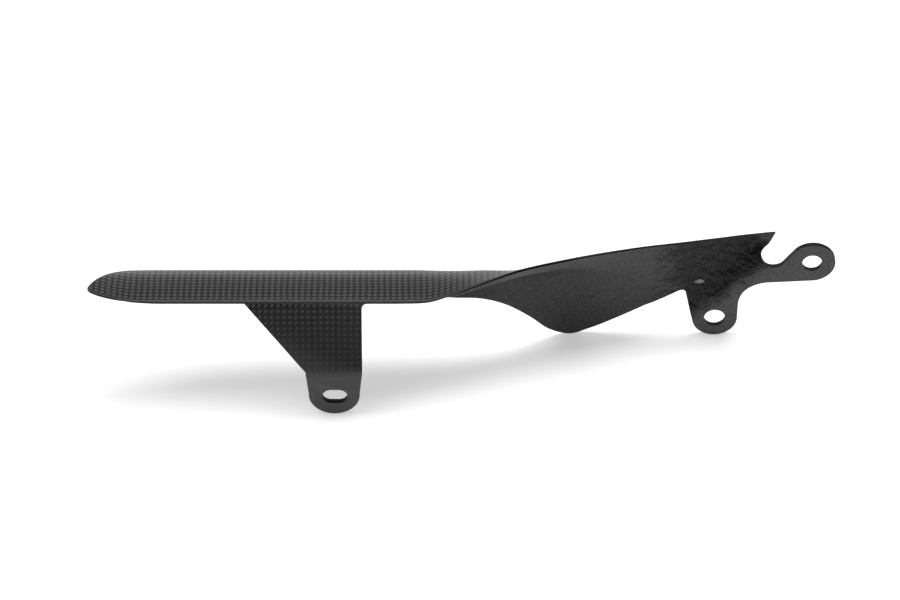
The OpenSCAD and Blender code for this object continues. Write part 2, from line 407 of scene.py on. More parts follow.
        # Under the lip the inner side is one soft turn, because an even skin would cross itself.
        m = s.lip_n + 1
        share = ease(LIP_NONE, s.lip_h, self.lip(x))
        below = normal(m) * s.skin_t
        behind = v2(-self.lip_dir.y, self.lip_dir.x) * s.skin_t
        knee = pts[1 + round(LIP_KNEE * s.lip_n)]
        onto = inward(m)
        free = mix(knee + below, pts[0] + behind, share)
        pull = mix((onto + free) / 2, knee + below + behind, share)
        line = []
        for k in range(m + 1):
            t = k / m
            u = 1 - t
            line.append(free * u * u + pull * 2 * u * t + onto * t * t)
        return line + [inward(k) for k in range(m + 1, last + 1)]


def drape(step):
    """How far the cloth is drawn out across one step of a section: most on the level top."""
    if step.length == 0:
        return 1.0
    rise = step.normalized().dot(v2(math.sin(CAMERA_TILT), math.cos(CAMERA_TILT)))
    return 1.0 if rise < 0 else max(DRAPE_LEAST, min(DRAPE_MOST, DRAPE_RATE * rise))


def stations():
    """Distances from the tip at which the moulding has a section."""
    tip = [0.1, 0.4, 0.8, 1.4, 2, 3] + [4 + k for k in range(31)]
    blade = [36 + 2 * k for k in range(57)]
    sweep_and_wall = [149 + k for k in range(114)]
    front = [262.6 + 0.9 * k for k in range(105)]
    return tip + blade + sweep_and_wall + front


def arc(c, r, start, end, n=24):
    """Points round c from one angle to another, in degrees."""
    turns = [math.radians(mix(start, end, k / n)) for k in range(n + 1)]
    return [v2(c[0] + r * math.cos(t), c[1] + r * math.sin(t)) for t in turns]


def soft(a, c, b, n=10):
    """Points of a soft corner from a to b, drawn toward c."""
    a, c, b = Vector(a), Vector(c), Vector(b)
    return [a * (1 - k / n) ** 2 + c * 2 * (1 - k / n) * k / n + b * (k / n) ** 2
            for k in range(n + 1)]


def tangent(p, c, r, side):
    """The angle at which a line from p touches the circle round c, in degrees."""
    d = Vector(p) - Vector(c)
    return math.degrees(math.atan2(d.y, d.x)) + side * math.degrees(math.acos(r / d.length))


# Modelling helpers


def home(x, y, z):
    """A point of the drawing, in the frame and in metres."""
    return (Vector((x, y, z)) - HOME) * MM


def from_home(name):
    """A mount's place in the drawing, in millimetres."""
    return Vector(MOUNTS[name]["pos_m"]) / MM + HOME


def alone(*objs):
    """Selects only these objects, with the first one active."""
    bpy.ops.object.select_all(action="DESELECT")
    for o in objs:
        o.select_set(True)
    bpy.context.view_layer.objects.active = objs[0]


def settle(obj):
    """Leaves the object at the origin, with its place in its mesh."""
    alone(obj)
    bpy.ops.object.transform_apply(location=True, rotation=True, scale=True)


def sheet_of(name, rows, cloth, material):
    """A grid primitive laid onto rows of points, with the cloth's own coordinates as its UV map."""
    n, m = len(rows[0]), len(rows)
    bpy.ops.object.select_all(action="DESELECT")
    bpy.ops.mesh.primitive_grid_add(x_subdivisions=n - 1, y_subdivisions=m - 1, size=1,
                                    calc_uvs=True)
    obj = bpy.context.object
    obj.name = name
    mesh = obj.data
    mesh.uv_layers[0].name = "cloth"
    order = sorted(range(len(mesh.vertices)),
                   key=lambda i: (round(mesh.vertices[i].co.y * 4 * m), mesh.vertices[i].co.x))
    place = {}
    for rank, i in enumerate(order):
        r, c = divmod(rank, n)
        mesh.vertices[i].co = rows[r][c]
        place[i] = cloth[r][c]
    uv = mesh.uv_layers["cloth"].data
    for loop in mesh.loops:
        uv[loop.index].uv = place[loop.vertex_index]
    mesh.materials.append(material)
    return obj


def prism(name, points, way, material):
    """A flat outline of points in the frame, drawn out along a way given in millimetres."""
    bpy.ops.object.select_all(action="DESELECT")
    bpy.ops.mesh.primitive_circle_add(vertices=len(points), radius=1, fill_type="NGON")
    obj = bpy.context.object
    obj.name = name
    for v, p in zip(obj.data.vertices, points):
        v.co = p
    bpy.ops.object.mode_set(mode="EDIT")
    bpy.ops.mesh.select_all(action="SELECT")
    bpy.ops.mesh.extrude_region_move(TRANSFORM_OT_translate={"value": [k * MM for k in way]})
    bpy.ops.mesh.select_all(action="SELECT")
    bpy.ops.mesh.normals_make_consistent(inside=False)
    bpy.ops.object.mode_set(mode="OBJECT")
    obj.data.materials.append(material)
    return obj


def through(name, outline, y0, y1, material):
    """An outline of (x, z) points, drawn out along Y."""
    return prism(name, [home(p.x, y0, p.y) for p in outline], (0, y1 - y0, 0), material)


def drill(name, at, r, material):
    """A round cutter along Y."""
    bpy.ops.object.select_all(action="DESELECT")
    bpy.ops.mesh.primitive_cylinder_add(vertices=BORE_SIDES, radius=r * MM, depth=BORE_REACH * MM,
                                        location=home(*at), rotation=(math.pi / 2, 0, 0))
    obj = bpy.context.object
    obj.name = name
    settle(obj)
    obj.data.materials.append(material)
    return obj


def cut(obj, other, how):
    """Applies an exact boolean and removes the other object."""
    alone(obj)
    mod = obj.modifiers.new(how.lower(), "BOOLEAN")
    mod.operation = how
    mod.object = other
    mod.solver = "EXACT"
    mod.material_mode = "TRANSFER"
    bpy.ops.object.modifier_apply(modifier=mod.name)
    bpy.data.objects.remove(other, do_unlink=True)


# Materials. Their lengths are in metres, as the shaders measure them.

WANDER = (70, 0.0008)  # scale and reach of the cloth's uneven lines
CROWN_TAB, CROWN_TOP = 0.7, 0.3  # how far a tow's painted sheen spreads: wide on the top, which faces the light, little on the tab
PATCH_POWERS = (0.4, 1.5)  # how that patch fades along a tow and across it
UNDER = (0.25, 0.8, 0.0, 0.12)  # where, and how much, the tows that lie across show
FIBRE_LONG, FIBRE_FINE = 0.35, 9.0
FIBRE_SHARE = 0.5  # how much the fibres vary a tow's tone
FOLD_BAND = (-0.0021, -0.0017, 0.0009, 0.0014)  # plain band along the fold, which carries a painted highlight
FOLD_HIGHLIGHT = 0.6  # the painted highlight's tone, between the dark tow's (0) and the light one's (1)
TAB_FOOT_SHADE = (-0.032, -0.002, 0.45, 1.0)  # painted shade: the weave fades down the tab, its light tows darker toward the foot
TAB_UPPER_LIGHT = (-0.034, -0.016, 0.06, 0.2)  # painted light: the least tone on the tab, higher on its upper part
FOOT_TOP, FOOT_LOW = BEND_Z + 2, BEND_Z - 1.2  # the tab's foot turns plain between these heights
FOOT_FRONT = (12, 8)  # only in front of this depth
GRAIN = (700, 3, 0.75)
# Painted glints: bright specks.
GLINT_SPECKS = (620, 1, 0.4)
GLINT_SPECK_CUT = (0.66, 0.76)
CLOUDS = (60, 3, 0.55)
RAGGED = (130, 0.014)  # scale and reach of the zones' ragged borders
# A painted glint: a small pale patch on the step, with ragged flakes.
GLINT_PATCH_R = (0.0026, 0.0014)
GLINT_PATCH_CUT = (2.3, 1.7)
GLINT_PATCH_FLAKES = 2.6
PLATE_CUT = (-0.001, -0.006)  # the plate's border, from the bend
RESIN_AND_SHADE_CUT = (-0.003, 0.002)  # the pooled resin's, whose dark tone is partly painted shade
CREASE_SOFT = (0.198, 0.245, 0.00025, 0.005)  # the crease is sharp first and softer ahead
STRIP_FADE = (0.18, 0.25, 1.0, 0.26)  # the painted reflection in the pale strip above it fades ahead
SHADOW = 0.4  # painted shadow in dark arcs under the crease
GLINT_SPECK_TONE = (0.12, 0.12, 0.12)
GLINT_PATCH_TONE = (0.45, 0.45, 0.44)
BASE_RANGE = (0.1, 1.95)  # mottle on the inner face, in shares of its colour
PLATE_RANGE = (1.7, 3.9)  # and on the plate, paler: painted light
LUMPS = (80, 1, 0.5, 0.3)
RIPPLES = (260, 3, 0.6, 0.5)
RESIN_RELIEF = 0.0022
CLOTH_RELIEF = 0.0001


def tint(colour, share=1.0):
    return tuple(c * share for c in colour)


def at_x(x):
    """A place along the drawing, as the shaders measure it."""
    return home(x, 0, 0).x


def at_z(z):
    """A height in the drawing, as the shaders measure it."""
    return home(0, 0, z).z


class Tree:
    """Short calls for laying out one node tree."""

    def __init__(self, tree):
        self.tree = tree
        self.col = 0

    def node(self, kind, **values):
        n = self.tree.nodes.new(kind)
        self.col += 1
        n.location = (self.col * 180, 0)
        for key, value in values.items():
            setattr(n, key, value)
        return n

    def link(self, a, b):
        self.tree.links.new(a, b)

    def fill(self, socket, v):
        """Sets a socket to a number or a colour, or links it."""
        if isinstance(v, (int, float)):
            socket.default_value = v
        elif isinstance(v, tuple):
            socket.default_value = (*v, 1) if socket.type == "RGBA" else v
        else:
            self.link(v, socket)

    def math(self, op, a, b=None, c=None, clamp=False):
        n = self.node("ShaderNodeMath", operation=op, use_clamp=clamp)
        for i, v in enumerate((a, b, c)):
            if v is not None:
                self.fill(n.inputs[i], v)
        return n.outputs[0]

    def times(self, a, b):
        return self.math("MULTIPLY", a, b)

    def vector(self, op, a, b):
        n = self.node("ShaderNodeVectorMath", operation=op)
        self.fill(n.inputs[0], a)
        self.fill(n.inputs[1], b)
        return n.outputs["Value" if op == "DOT_PRODUCT" else "Vector"]

    def split(self, vector):
        n = self.node("ShaderNodeSeparateXYZ")
        self.link(vector, n.inputs[0])
        return n.outputs

    def pair(self, x, y):
        n = self.node("ShaderNodeCombineXYZ")
        self.link(x, n.inputs[0])
        self.link(y, n.inputs[1])
        return n.outputs[0]

    def place(self):
        return self.node("ShaderNodeTexCoord").outputs["Object"]

    def ramp(self, value, a, b, lo=0.0, hi=1.0):
        """Smoothly from lo at a to hi at b."""
        n = self.node("ShaderNodeMapRange", interpolation_type="SMOOTHSTEP")
        self.link(value, n.inputs["Value"])
        for key, v in (("From Min", a), ("From Max", b), ("To Min", lo), ("To Max", hi)):
            self.fill(n.inputs[key], v)
        return n.outputs["Result"]

    def mix(self, factor, a, b):
        n = self.node("ShaderNodeMix", data_type="RGBA")
        for key, v in (("Factor", factor), ("A", a), ("B", b)):
            self.fill([i for i in n.inputs if i.name == key and i.enabled][0], v)
        return [o for o in n.outputs if o.enabled][0]

    def noise(self, vector, scale, detail=2.0, rough=0.5, distortion=0.0):
        n = self.node("ShaderNodeTexNoise")
        self.link(vector, n.inputs["Vector"])
        n.inputs["Scale"].default_value = scale
        n.inputs["Detail"].default_value = detail
        n.inputs["Roughness"].default_value = rough
        n.inputs["Distortion"].default_value = distortion
        return n.outputs["Fac"]

    def relief(self, height, strength, distance):
        n = self.node("ShaderNodeBump")
        n.inputs["Strength"].default_value = strength
        n.inputs["Distance"].default_value = distance
        self.link(height, n.inputs["Height"])
        return n.outputs[0]

    def group(self, tree, **links):
        n = self.node("ShaderNodeGroup")
        n.node_tree = tree
        for key, v in links.items():
            self.fill(n.inputs[key], v)
        return n.outputs


def new_group(name, ins, outs):
    """A node group with sockets (name, kind, default) in and (name, kind) out."""
    tree = bpy.data.node_groups.new(name, "ShaderNodeTree")
    for label, kind, default in ins:
        socket = tree.interface.new_socket(name=label, in_out="INPUT", socket_type=kind)
        if default is not None:
            socket.default_value = default
    for label, kind in outs:
        tree.interface.new_socket(name=label, in_out="OUTPUT", socket_type=kind)
    t = Tree(tree)
    return t, t.node("NodeGroupInput").outputs, t.node("NodeGroupOutput").inputs


def plain_weave():
    """Plain weave at 45 degrees: its height, its lie from dark tows to light ones (the light tows'
    tone is painted sheen), its fibres.
    """
    t, i, o = new_group(
        "plain_weave",
        [("Vector", "NodeSocketVector", None), ("Tow", "NodeSocketFloat", 0.002),
         ("Crown", "NodeSocketFloat", 0.5)],
        [("Height", "NodeSocketFloat"), ("Lie", "NodeSocketFloat"), ("Fibre", "NodeSocketFloat")])
    x, y, _ = t.split(i["Vector"])
    rate = t.math("DIVIDE", math.pi / math.sqrt(2), i["Tow"])
    a = t.times(t.math("ADD", x, y), rate)
    b = t.times(t.math("SUBTRACT", x, y), rate)
    sa, sb = t.math("SINE", a), t.math("SINE", b)
    wave = t.times(sa, sb)
    t.link(t.math("ABSOLUTE", wave), o["Height"])
    patch = t.times(t.math("POWER", t.math("ABSOLUTE", sa), PATCH_POWERS[0]),
                    t.math("POWER", t.math("ABSOLUTE", sb), PATCH_POWERS[1]))
    over = t.times(t.math("GREATER_THAN", wave, 0.0), patch)
    under = t.ramp(t.times(wave, -1.0), *UNDER)
    lit = t.math("DIVIDE", over, i["Crown"], clamp=True)
    lie = t.math("ADD", t.ramp(lit, 0.05, 1.0), under)
    t.link(lie, o["Lie"])
    along = t.pair(t.times(a, FIBRE_LONG), t.times(b, FIBRE_FINE))
    across = t.pair(t.times(a, FIBRE_FINE), t.times(b, FIBRE_LONG))
    fibre = t.node("ShaderNodeMix", data_type="FLOAT")
    t.link(lie, fibre.inputs[0])
    t.link(t.noise(across, 1.0, 1), fibre.inputs[2])
    t.link(t.noise(along, 1.0, 1), fibre.inputs[3])
    t.link(fibre.outputs[0], o["Fibre"])
    return t.tree


def speckle():
    """Fine grain of a surface that came off its mould, with bright specks of painted glint and soft
    clouds.
    """
    t, i, o = new_group(
        "speckle_and_glints",
        [("Vector", "NodeSocketVector", None)],
        [("Grain", "NodeSocketFloat"), ("GlintSpeck", "NodeSocketFloat"), ("Cloud", "NodeSocketFloat")])
    t.link(t.noise(i["Vector"], *GRAIN), o["Grain"])
    t.link(t.ramp(t.noise(i["Vector"], *GLINT_SPECKS), *GLINT_SPECK_CUT), o["GlintSpeck"])
    t.link(t.noise(i["Vector"], *CLOUDS), o["Cloud"])
    return t.tree


def plate_zones():
    """Where the plate is plain (painted paler, with a paler wedge at the pointed corner), where resin
    has pooled on the step (partly painted shade), and where a painted glint lies.
    """
    t, i, o = new_group(
        "plate_zones",
        [("Vector", "NodeSocketVector", None)],
        [("Plate", "NodeSocketFloat"), ("ResinAndShade", "NodeSocketFloat"), ("Fade", "NodeSocketFloat"),
         ("Along", "NodeSocketVector"), ("GlintPatch", "NodeSocketFloat")])
    start = home(BEND_A.x, 0, BEND_A.y)
    local = t.vector("SUBTRACT", i["Vector"], (start.x, 0, start.z))
    off = t.vector("DOT_PRODUCT", local, (BEND_N.x, 0, BEND_N.y))
    along = t.vector("DOT_PRODUCT", local, (BEND_N.y, 0, -BEND_N.x))
    t.link(t.pair(t.times(along, 0.55), off), o["Along"])

    scale, reach = RAGGED
    ragged = t.math("MULTIPLY_ADD", t.noise(i["Vector"], scale, 3, 0.6), reach, -reach / 2)
    border = t.math("ADD", off, ragged)
    part = t.split(i["Vector"])
    x = t.math("ADD", part[0], ragged)
    z = t.math("ADD", part[2], ragged)
    # Painted light: a paler wedge at the pointed corner, drawn into the plate.
    corner = t.times(t.ramp(x, at_x(311), at_x(319)), t.ramp(z, at_z(50), at_z(56), 0.0, 0.8))
    t.link(t.math("MAXIMUM", t.ramp(border, *PLATE_CUT), corner), o["Plate"])
    ahead = t.ramp(x, at_x(264), at_x(280))
    # The resin zone: its darkness is partly painted shade.
    t.link(t.times(ahead, t.ramp(border, *RESIN_AND_SHADE_CUT)), o["ResinAndShade"])
    t.link(t.ramp(x, at_x(248), at_x(276)), o["Fade"])

    # Painted glint: a pale patch on the step.
    gap_x = t.math("DIVIDE", t.math("SUBTRACT", part[0], at_x(GLINT_PATCH.x)), GLINT_PATCH_R[0])
    gap_z = t.math("DIVIDE", t.math("SUBTRACT", part[2], at_z(GLINT_PATCH.y)), GLINT_PATCH_R[1])
    gap = t.math("ADD", t.times(gap_x, gap_x), t.times(gap_z, gap_z))
    flakes = t.times(t.noise(i["Vector"], 700, 3, 0.7), GLINT_PATCH_FLAKES)
    t.link(t.ramp(t.math("ADD", gap, flakes), *GLINT_PATCH_CUT), o["GlintPatch"])
    return t.tree


def principled(name):
    mat = bpy.data.materials.new(name)
    mat.use_nodes = True
    return mat, Tree(mat.node_tree), mat.node_tree.nodes["Principled BSDF"]


def woven_coat(sizes, finish, weave, grain):
    """Clear coat over the cloth, for the outer side and the tab's face."""
    mat, t, sh = principled(FINISHES[WOVEN])
    uv = t.node("ShaderNodeUVMap", uv_map="cloth").outputs[0]
    v = t.split(uv)[1]  # across the cloth from the fold: over the top, and below 0 down the tab
    place = t.place()
    _, depth, height = t.split(place)

    scale, reach = WANDER
    wander = t.math("MULTIPLY_ADD", t.noise(uv, scale, 1), reach, -reach / 2)
    cloth = t.group(weave, Vector=t.vector("ADD", uv, wander), Tow=sizes.tow * MM,
                    Crown=t.ramp(v, -0.002, 0.0, CROWN_TAB, CROWN_TOP))
    spot = t.group(grain, Vector=place)
    in_foot = t.times(t.ramp(height, at_z(FOOT_TOP), at_z(FOOT_LOW)),
                      t.ramp(depth, *(home(0, y, 0).y for y in FOOT_FRONT)))
    below, full, last, above = FOLD_BAND
    on_fold = t.times(t.ramp(v, below, full), t.ramp(v, above, last))

    lie = t.math("MULTIPLY_ADD", t.math("SUBTRACT", cloth["Fibre"], 0.5), FIBRE_SHARE,
                 cloth["Lie"])
    # Painted shade darkens the tab toward its foot.
    lie = t.times(lie, t.ramp(v, *TAB_FOOT_SHADE))
    # Painted highlight: the plain band along the fold is lifted to a paler tone.
    lie = t.math("MULTIPLY_ADD", t.math("SUBTRACT", FOLD_HIGHLIGHT, lie), on_fold, lie)
    # Painted light lifts the dark tows on the tab's upper part.
    upper_light = t.times(t.ramp(v, -0.002, -0.006), t.ramp(v, *TAB_UPPER_LIGHT))
    lie = t.math("MAXIMUM", lie, upper_light, clamp=True)
    # Painted sheen: the lie mixes the dark cloth toward the light tow's paler tone.
    tone = t.mix(lie, tint(finish.tow_dark), tint(finish.tow_sheen))
    plain = t.mix(spot["Grain"], tint(finish.inner), tint(finish.inner, 1.7))
    t.link(t.mix(in_foot, tone, plain), sh.inputs["Base Color"])

    raised = t.times(cloth["Height"], t.math("SUBTRACT", 1.0, in_foot))
    t.link(t.relief(raised, 0.25, CLOTH_RELIEF), sh.inputs["Normal"])
    t.link(t.math("MULTIPLY_ADD", spot["Grain"], 0.1, 0.3), sh.inputs["Roughness"])
    sh.inputs["Specular IOR Level"].default_value = 0.26
    sh.inputs["Coat Weight"].default_value = 0.12
    sh.inputs["Coat Roughness"].default_value = 0.2
    return mat


def inner_face(finish, grain, zones):
    """Matte inner face with pooled resin before the front plate, partly painted shade, a smooth plate
    painted paler, and painted reflection, shadow and glints.
    """
    mat, t, sh = principled(FINISHES[INNER])
    place = t.place()
    spot = t.group(grain, Vector=place)
    zone = t.group(zones, Vector=place)
    # On this face the UV map holds the distance from the tip and the height above the crease.
    run, above, _ = t.split(t.node("ShaderNodeUVMap", uv_map="cloth").outputs[0])

    # Painted reflection: a paler strip above the crease, sharp first and fading ahead.
    over_crease = t.ramp(t.math("DIVIDE", above, t.ramp(run, *CREASE_SOFT)), -1.0, 1.0)
    strip = t.times(over_crease, t.ramp(run, *STRIP_FADE))
    # Painted sheen: ahead, the wall below the crease turns paler toward it.
    sheen_lift = t.times(t.ramp(run, 0.212, 0.25), t.ramp(above, -0.034, -0.004, 0.0, 0.2))
    strip = t.math("ADD", strip, sheen_lift, clamp=True)
    # Painted shadow: dark arcs under the crease, in the middle run.
    middle = t.times(t.ramp(run, 0.195, 0.212), t.ramp(run, 0.25, 0.225))
    arcs = t.times(t.ramp(above, -0.006, -0.001), middle)
    shade = t.times(arcs, t.ramp(above, 0.0015, -0.0005, 0.0, SHADOW))
    mottle = t.math("MULTIPLY_ADD", t.ramp(spot["Grain"], 0.3, 0.7), 0.6,
                    t.times(spot["Cloud"], 0.4))

    base = t.mix(mottle, *(tint(finish.inner, share) for share in BASE_RANGE))
    # Painted glints: bright specks on the inner face.
    base = t.mix(t.times(spot["GlintSpeck"], 0.5), base, GLINT_SPECK_TONE)
    # The painted shadow takes the pooled resin's dark colour.
    base = t.mix(shade, base, tint(finish.resin_and_shade))
    # The painted reflection strip is mixed in here.
    pale = t.times(strip, t.math("MULTIPLY_ADD", mottle, 0.5, 0.5))
    base = t.mix(pale, base, tint(finish.strip))
    # Pooled resin: its dark tone is partly its own and partly painted shade.
    pooled = t.mix(zone["ResinAndShade"], base, tint(finish.resin_and_shade))
    # The plate is a paler copy of the inner face: painted light.
    plate = t.mix(mottle, *(tint(finish.inner, share) for share in PLATE_RANGE))
    whole = t.mix(zone["Plate"], pooled, plate)
    # The painted glint lies over all.
    t.link(t.mix(t.times(zone["GlintPatch"], 0.9), whole, GLINT_PATCH_TONE), sh.inputs["Base Color"])

    drawn = t.vector("MULTIPLY", zone["Along"], (0.3, 1, 1))
    lump = t.math("MULTIPLY_ADD", t.noise(drawn, *LUMPS), 1.2,
                  t.times(t.noise(place, *RIPPLES), 0.75))
    where = t.math("MULTIPLY_ADD", zone["ResinAndShade"], 1.0, t.times(zone["Fade"], 0.12))
    height = t.math("MULTIPLY_ADD", spot["Grain"], 0.012, t.times(lump, where))
    t.link(t.relief(height, 1.0, RESIN_RELIEF), sh.inputs["Normal"])
    rough = t.math("MULTIPLY_ADD", spot["Grain"], 0.1, 0.45)
    t.link(t.math("MULTIPLY_ADD", zone["ResinAndShade"], -0.32, rough), sh.inputs["Roughness"])
    sh.inputs["Specular IOR Level"].default_value = 0.2
    return mat


def cut_edge(finish, grain):
    """Sanded edges and the walls of the bores, near black partly of their own and partly as painted
    shade.
    """
    mat, t, sh = principled(FINISHES[EDGE])
    spot = t.group(grain, Vector=t.place())
    t.link(t.mix(spot["Grain"], tint(finish.edge, 0.7), tint(finish.edge, 1.3)),
           sh.inputs["Base Color"])
    t.link(t.math("MULTIPLY_ADD", spot["Grain"], 0.2, 0.4), sh.inputs["Roughness"])
    sh.inputs["Specular IOR Level"].default_value = 0.1
    return mat


# Operators


class GUARD_OT_finishes(bpy.types.Operator):
    """Make the finishes of the outer side, the inner face and the cut edges"""
    bl_idname = "guard.finishes"
    bl_label = "Finishes"

    def execute(self, context):
        finish = context.scene.guard_finish
        grain = speckle()
        woven_coat(context.scene.guard_sizes, finish, plain_weave(), grain)
        inner_face(finish, grain, plate_zones())
        cut_edge(finish, grain)
        return {"FINISHED"}


class GUARD_OT_moulding(bpy.types.Operator):
    """Lay up the moulding, trim its front end and drill the front bores"""
    bl_idname = "guard.moulding"
    bl_label = "Moulding"

    def sheets(self, lines):
        """The outer and the inner side, as two open sheets."""
        outer, inner, cloth, from_crease = [], [], [], []
        for x in stations():
            line = lines.outer_line(x)
            outer.append([home(x, p.x, p.y) for p in line])
            inner.append([home(x, p.x, p.y) for p in lines.inner_line(x, line)])
            runs = [0.0]
            for a, b in zip(line, line[1:]):
                runs.append(runs[-1] + (b - a).length * drape(b - a))
            fold = runs[lines.s.lip_n // 2]
            cloth.append([(x * MM, (run - fold) * MM) for run in runs])
            from_crease.append([(x * MM, d * MM) for d in lines.above_crease(x, line)])
        mats = [bpy.data.materials[n] for n in FINISHES]
        return (sheet_of("guard_outer", outer, cloth, mats[WOVEN]),
                sheet_of("guard_inner", inner, from_crease, mats[INNER]))

    def close(self, skin, back, edge):
        """Joins the two sheets by a rim all round."""
        skin.data.materials.append(back.data.materials[0])
        skin.data.materials.append(edge)
        alone(skin, back)
        bpy.ops.object.join()
        bpy.ops.object.mode_set(mode="EDIT")
        bpy.ops.mesh.select_all(action="DESELECT")
        bpy.ops.mesh.select_mode(type="EDGE")
        bpy.ops.mesh.select_non_manifold()
        sheet_faces = len(skin.data.polygons)
        bpy.ops.mesh.bridge_edge_loops()
        bpy.ops.mesh.select_all(action="SELECT")
        bpy.ops.mesh.normals_make_consistent(inside=False)
        bpy.ops.object.mode_set(mode="OBJECT")
        for p in skin.data.polygons:
            if p.index >= sheet_faces:
                p.material_index = EDGE

    def front_outline(self, lines):
        """What the front end keeps, seen square to the plate, as (x, z) points."""
        eye, lug = from_home("front_eye_bore"), from_home("lower_lug_bore")
        eye, lug = (eye.x, eye.z), (lug.x, lug.z)
        throat, arm = v2(*THROAT), v2(*ARM)
        right = lug[0] + LUG_R
        high = lines.s.rim_h + FAR
        low_end = TRIM_X + 14
        wall = [v2(TRIM_X + k, lines.wall_z(TRIM_X + k)) for k in range(14)]
        return ([v2(-FAR, -FAR), v2(TRIM_X, -FAR)] + wall
                + soft((low_end, lines.wall_z(low_end)), throat + v2(-1, 2.8), throat)
                + arc(lug, LUG_R, tangent(throat, lug, LUG_R, 1), 360, 60)
                + soft((right, arm.y - 13.5), (right + 0.6, arm.y - 2.2), arm, 16)
                + arc(eye, EYE_R, tangent(arm, eye, EYE_R, 1), EYE_END, 60)
                + arc(NOTCH_C, NOTCH_R, *NOTCH_TURN, 40)
                + soft(*NOTCH_SIDE, 8)
                + soft(NOTCH_SIDE[2], NOTCH_LEAD, (POINT_X, lines.edge_z(POINT_X) + 0.5))
                + [v2(POINT_X, high), v2(-FAR, high)])

    def execute(self, context):
        lines = Lines(context.scene.guard_sizes)
        edge = bpy.data.materials[FINISHES[EDGE]]
        skin, back = self.sheets(lines)
        self.close(skin, back, edge)
        cut(skin, through("front_outline", self.front_outline(lines), -20, 90, edge), "INTERSECT")
        for name in ("front_eye_bore", "lower_lug_bore"):
            bore = drill(name, from_home(name), MOUNTS[name]["dims"]["r_mm"], edge)
            cut(skin, bore, "DIFFERENCE")
        skin.name = "guard_skin"
        return {"FINISHED"}


class GUARD_OT_rear_tab(bpy.types.Operator):
    """Add the rear tab that leans from the fold, and cut its slot"""
    bl_idname = "guard.rear_tab"
    bl_label = "Rear tab"

    def face(self, sizes, slot, lip):
        """The tab seen from the front, as (x, z) points."""
        right = slot.x + TAB_AHEAD
        left = right - sizes.tab_w
        lip_z = sizes.rim_h + lip.y * sizes.lip_h
        root = sizes.root_r
        (end_x, end_z), end_r = TAB_END
        return ([v2(left - TAB_SLANT, sizes.rim_h), v2(left + 1.5, BEND_Z + 0.6)]
                + arc((slot.x + end_x, end_z), end_r, *TAB_TURN, 60)
                + [v2(right, BEND_Z)]
                + soft((right, lip_z - root), (right, lip_z), (right + root, lip_z))
                + [v2(right + root, sizes.rim_h)])

    def side(self, sizes, lip):
        """The tab seen from its end, upright below and leaning above, as (y, z) points."""
        top = v2(FOLD_Y, sizes.rim_h - BEND_Z) * TAB_REACH + v2(0, BEND_Z)
        back = v2(-lip.y, lip.x) * sizes.tab_t
        bend, lean_top = v2(-TAB_PROUD, BEND_Z), top - v2(TAB_PROUD, 0)
        eased = soft(bend - v2(0, TAB_EASE), bend,
                     bend + (lean_top - bend).normalized() * TAB_EASE, 8)
        return [v2(-TAB_PROUD, -1), *eased, lean_top, top + back,
                v2(sizes.tab_t, BEND_Z - 0.4), v2(sizes.tab_t, -1)]

    def cut_slot(self, tab, sizes, slot, edge):
        half, r = (sizes.slot_l - sizes.slot_h) / 2, sizes.slot_h / 2
        for at in (-half, half):
            cut(tab, drill("slot_end", (slot.x + at, slot.y, slot.z), r, edge), "DIFFERENCE")
        corners = ((-half, -r), (half, -r), (half, r), (-half, r))
        middle = [v2(slot.x + a, slot.z + b) for a, b in corners]
        cut(tab, through("slot", middle, -5, 15, edge), "DIFFERENCE")

    def lay_cloth(self, mesh, sizes, lip):
        """Gives each face its finish, and runs the cloth on from the fold, down the tab."""
        uv = mesh.uv_layers.get("cloth") or mesh.uv_layers.new(name="cloth")
        for p in mesh.polygons:
            turned = p.normal.y
            p.material_index = WOVEN if turned < -SIDE else INNER if turned > SIDE else EDGE
            for k in p.loop_indices:
                co = mesh.vertices[mesh.loops[k].vertex_index].co / MM + HOME
                leaning = (sizes.rim_h - max(co.z, BEND_Z)) / -lip.y
                down = leaning + max(0, BEND_Z - co.z)
                uv.data[k].uv = (co.x * MM, -down * MM)

    def execute(self, context):
        sizes = context.scene.guard_sizes
        skin = bpy.data.objects["guard_skin"]
        mats = [bpy.data.materials[n] for n in FINISHES]
        slot = from_home("tab_slot")
        lip = Lines(sizes).lip_dir
        tab = through("rear_tab", self.face(sizes, slot, lip), -5, 40, mats[EDGE])
        side = [home(40, p.x, p.y) for p in self.side(sizes, lip)]
        cut(tab, prism("tab_side", side, (120, 0, 0), mats[EDGE]), "INTERSECT")
        self.cut_slot(tab, sizes, slot, mats[EDGE])
        alone(tab)
        bpy.ops.object.mode_set(mode="EDIT")
        bpy.ops.mesh.select_all(action="SELECT")
        bpy.ops.mesh.remove_doubles(threshold=WELD)
        bpy.ops.mesh.dissolve_limited(angle_limit=FLAT_ANGLE)
        bpy.ops.object.mode_set(mode="OBJECT")
        tab.data.materials.clear()
        for m in mats:
            tab.data.materials.append(m)
        self.lay_cloth(tab.data, sizes, lip)
        mod = tab.modifiers.new("edges", "BEVEL")
        mod.width = sizes.round_edge * MM
        mod.segments = 2
        mod.limit_method = "ANGLE"
        mod.angle_limit = BEVEL_ANGLE
        bpy.ops.object.modifier_apply(modifier=mod.name)
        cut(skin, tab, "UNION")
        skin.name = "guard_moulding"
        alone(skin)
        bpy.ops.object.shade_smooth_by_angle(angle=SMOOTH_ANGLE)
        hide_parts(NODE)
        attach(skin, "root")
        return {"FINISHED"}


